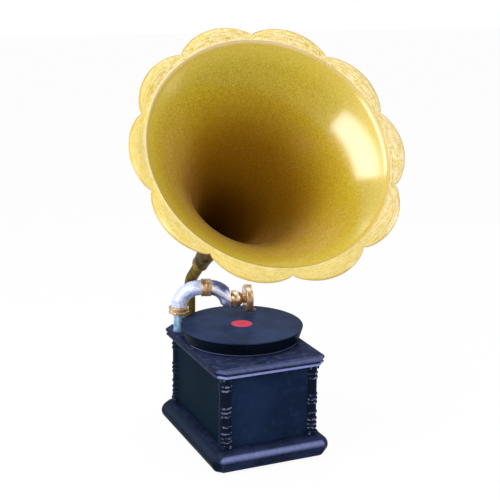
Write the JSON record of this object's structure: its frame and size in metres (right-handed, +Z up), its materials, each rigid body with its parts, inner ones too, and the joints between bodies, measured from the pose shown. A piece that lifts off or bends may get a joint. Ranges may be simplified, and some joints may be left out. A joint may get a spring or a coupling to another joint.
{
  "type": "gramophone",
  "caption": "Horn gramophone with a petalled bell, swinging tonearm, record on a turntable, wind-up motor and governor in a square moulded case with turned corner columns",
  "frame": {"origin": "middle of the case's underside, on the surface it stands on", "axes": "+Z up; +X to the right seen from the front; the horn's mouth faces the front, -Y, and the crank is at the back, +Y"},
  "size_m": [0.4771, 0.6749, 0.8509],
  "materials": {
    "case_enamel": "deep blue glossy paint on turned and moulded wood",
    "panel_enamel": "deep blue glossy paint on panel wood",
    "raw_wood": "plain planed pine under the case",
    "screw_steel": "bright steel",
    "escutcheon_brass": "polished brass",
    "bracket_enamel": "deep blue paint on iron",
    "arm_enamel": "glossy pale blue paint",
    "arm_gilt": "glossy bronze paint",
    "soundbox_gilt": "satin bronze paint",
    "gasket_rubber": "soft black rubber",
    "mica": "pale mica sheet",
    "needle_steel": "bright steel needle",
    "stylus_steel": "nickelled steel",
    "horn_gold": "satin gold paint on sheet metal",
    "pipe_bronze": "dark olive bronze paint",
    "platter_enamel": "near-black blue paint",
    "felt": "dark blue felt",
    "record_black": "satin blue-black pressed disc with fine grooves",
    "label_red": "plain red paper label",
    "gear_brass": "cut brass",
    "motor_steel": "ground steel",
    "spring_steel": "blued spring steel",
    "knob_wood": "black-stained turned wood",
    "lever_steel": "nickelled steel"
  },
  "bodies": {
    "case": {"plinth_frame": "case_enamel", "bottom_board": "raw_wood", "base_screws": "screw_steel", "front_panel": "panel_enamel", "back_panel": "panel_enamel", "left_panel": "panel_enamel", "right_panel": "panel_enamel", "corner_columns": "case_enamel", "motor_board": "case_enamel", "crank_escutcheon": "escutcheon_brass", "sound_duct": "case_enamel", "horn_bracket": "bracket_enamel", "bracket_screws": "screw_steel", "arm_pedestal": "arm_enamel", "motor_top_plate": "motor_steel", "motor_bottom_plate": "motor_steel", "motor_pillars": "motor_steel", "motor_bolts": "screw_steel", "shaft_bracket": "motor_steel"},
    "tonearm": {"arm_collar": "arm_gilt", "arm_rear_tube": "arm_enamel", "arm_ring": "arm_gilt", "arm_front_tube": "arm_enamel", "knuckle_cup": "soundbox_gilt", "knuckle_pin": "soundbox_gilt"},
    "soundbox": {"knuckle_ball": "soundbox_gilt", "soundbox_back": "soundbox_gilt", "soundbox_gaskets": "gasket_rubber", "diaphragm": "mica", "soundbox_front": "soundbox_gilt", "soundbox_screws": "stylus_steel", "stylus_bar": "stylus_steel", "needle": "needle_steel"},
    "needle_clamp": {"needle_screw": "stylus_steel"},
    "horn": {"horn_pipe": "pipe_bronze", "pipe_collar": "pipe_bronze", "horn_bowl": "horn_gold", "horn_petals": "horn_gold"},
    "platter": {"turntable": "platter_enamel", "turntable_felt": "felt", "record": "record_black", "record_label": "label_red", "spindle": "motor_steel"},
    "intermediate": {"intermediate_gear": "gear_brass"},
    "barrel": {"spring_barrel": "gear_brass", "barrel_lid": "gear_brass", "mainspring": "spring_steel"},
    "arbor": {"winding_arbor": "motor_steel"},
    "winder": {"winding_shaft": "motor_steel", "crank": "lever_steel"},
    "knob": {"crank_knob": "knob_wood"},
    "governor": {"governor_shaft": "motor_steel", "governor_weights": "gear_brass"},
    "pad_lever": {"governor_lever": "lever_steel"},
    "speed_control": {"speed_lever": "lever_steel"},
    "brake": {"brake_lever": "lever_steel"}
  },
  "joints": [
    {"name": "turntable_spin", "type": "hinge", "parent": "case", "child": "platter", "pos_m": [0.004, 0.0135, 0.23], "axis": [0, 0, -1], "continuous": true},
    {"name": "intermediate_spin", "type": "hinge", "parent": "case", "child": "intermediate", "pos_m": [-0.02607, 0.00255, 0.15], "axis": [0, 0, -1], "continuous": true},
    {"name": "barrel_spin", "type": "hinge", "parent": "case", "child": "barrel", "pos_m": [0.00022, -0.04689, 0.15], "axis": [0, 0, -1], "continuous": true},
    {"name": "governor_spin", "type": "hinge", "parent": "case", "child": "governor", "pos_m": [0.034, 0.0135, 0.15], "axis": [0, 0, -1], "continuous": true},
    {"name": "crank_turn", "type": "hinge", "parent": "case", "child": "winder", "pos_m": [0.00022, 0.06, 0.0975], "axis": [0, 1, 0], "continuous": true},
    {"name": "arbor_turn", "type": "hinge", "parent": "case", "child": "arbor", "pos_m": [0.00022, -0.04689, 0.15], "axis": [0, 0, -1], "continuous": true},
    {"name": "knob_spin", "type": "hinge", "parent": "winder", "child": "knob", "pos_m": [0.00022, 0.19, 0.1695], "axis": [0, 1, 0], "continuous": true},
    {"name": "tonearm_swing", "type": "hinge", "parent": "case", "child": "tonearm", "pos_m": [-0.098, 0.109, 0.253], "axis": [0, 0, 1], "range_deg": [-12, 20]},
    {"name": "soundbox_lift", "type": "hinge", "parent": "tonearm", "child": "soundbox", "pos_m": [0.01495, 0.07427, 0.2763], "axis": [-0.184, -0.9829, 0], "range_deg": [0, 40]},
    {"name": "needle_screw_turn", "type": "hinge", "parent": "soundbox", "child": "needle_clamp", "pos_m": [0.05112, 0.0675, 0.2488], "axis": [0.9829, -0.184, 0], "range_deg": [-90, 0]},
    {"name": "horn_swivel", "type": "hinge", "parent": "case", "child": "horn", "pos_m": [-0.0457, 0.1822, 0.214], "axis": [0, 0, 1], "range_deg": [-25, 25]},
    {"name": "brake_turn", "type": "hinge", "parent": "case", "child": "brake", "pos_m": [0.046, 0.147, 0.215], "axis": [0, 0, -1], "range_deg": [0, 15]},
    {"name": "speed_turn", "type": "hinge", "parent": "case", "child": "speed_control", "pos_m": [0.078, 0.113, 0.205], "axis": [0, 0, -1], "range_deg": [0, 50]},
    {"name": "speed_pad", "type": "hinge", "parent": "case", "child": "pad_lever", "pos_m": [0.052, 0.0295, 0.136], "axis": [0, 0, 1], "range_deg": [0, 6.5]}
  ],
  "couplings": [
    {"joint": "intermediate_spin", "follows": "turntable_spin", "ratio": -0.25},
    {"joint": "barrel_spin", "follows": "turntable_spin", "ratio": 0.041667},
    {"joint": "governor_spin", "follows": "turntable_spin", "ratio": -9},
    {"joint": "arbor_turn", "follows": "crank_turn", "ratio": 0.33333},
    {"joint": "speed_pad", "follows": "speed_turn", "ratio": 0.12}
  ]
}
